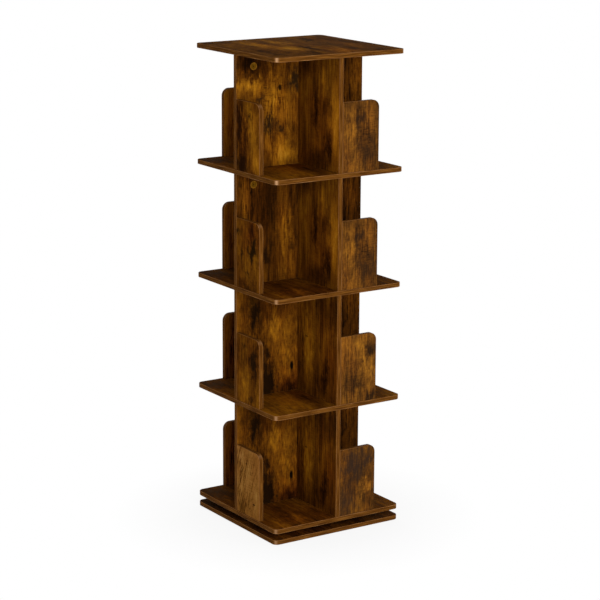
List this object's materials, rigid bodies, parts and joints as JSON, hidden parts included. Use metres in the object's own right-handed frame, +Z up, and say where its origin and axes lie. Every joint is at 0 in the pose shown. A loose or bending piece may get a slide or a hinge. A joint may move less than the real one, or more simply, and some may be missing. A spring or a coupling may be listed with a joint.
{
  "type": "revolving bookcase",
  "caption": "Floor-standing revolving bookcase: stacked open compartments with book stops around a cross of dividers, turning on a ball swivel above a square base.",
  "frame": {"origin": "centre of the square footprint at floor level, under the foot pads", "axes": "+Z up along the swivel axis, X and Y square to the boards' edges; the picture looks at the corner at -X -Y"},
  "size_m": [0.39, 0.39, 1.255],
  "materials": {
    "decor_board": "rustic brown wood-decor laminate, satin",
    "black_steel": "black powder coat",
    "zinc_steel": "zinc plated",
    "ball_steel": "polished",
    "nylon": "moulded",
    "birch_dowel": "raw, fluted",
    "cover_cap": "moulded, satin",
    "foot_pad": "matt foam rubber"
  },
  "bodies": {
    "base": {"base_board": "decor_board", "foot_pads": "foot_pad", "base_bolts": "zinc_steel", "swivel_lower_plate": "black_steel", "weld_nuts": "zinc_steel", "swivel_pivot": "zinc_steel"},
    "ball_ring": {"ball_cage": "nylon", "bearing_balls": "ball_steel"},
    "column": {"swivel_upper_plate": "black_steel", "swivel_screws": "zinc_steel", "bottom_shelf": "decor_board", "lower_shelf": "decor_board", "middle_shelf": "decor_board", "upper_shelf": "decor_board", "top_board": "decor_board", "through_divider_1": "decor_board", "through_divider_2": "decor_board", "through_divider_3": "decor_board", "through_divider_4": "decor_board", "front_divider_1": "decor_board", "front_divider_2": "decor_board", "front_divider_3": "decor_board", "front_divider_4": "decor_board", "rear_divider_1": "decor_board", "rear_divider_2": "decor_board", "rear_divider_3": "decor_board", "rear_divider_4": "decor_board", "left_stop_1": "decor_board", "left_stop_2": "decor_board", "left_stop_3": "decor_board", "left_stop_4": "decor_board", "front_stop_1": "decor_board", "front_stop_2": "decor_board", "front_stop_3": "decor_board", "front_stop_4": "decor_board", "right_stop_1": "decor_board", "right_stop_2": "decor_board", "right_stop_3": "decor_board", "right_stop_4": "decor_board", "rear_stop_1": "decor_board", "rear_stop_2": "decor_board", "rear_stop_3": "decor_board", "rear_stop_4": "decor_board", "cam_locks": "zinc_steel", "cam_bolts": "zinc_steel", "cam_covers": "cover_cap", "divider_dowels": "birch_dowel", "stop_dowels": "birch_dowel", "cross_dowels": "birch_dowel", "divider_screws": "zinc_steel", "stop_screws": "zinc_steel"}
  },
  "joints": [
    {"name": "revolve", "type": "hinge", "parent": "base", "child": "column", "pos_m": [0, 0, 0.02225], "axis": [0, 0, 1], "continuous": true},
    {"name": "ball_ring_turn", "type": "hinge", "parent": "base", "child": "ball_ring", "pos_m": [0, 0, 0.02225], "axis": [0, 0, 1], "continuous": true}
  ],
  "couplings": [
    {"joint": "ball_ring_turn", "follows": "revolve", "ratio": 0.5}
  ]
}
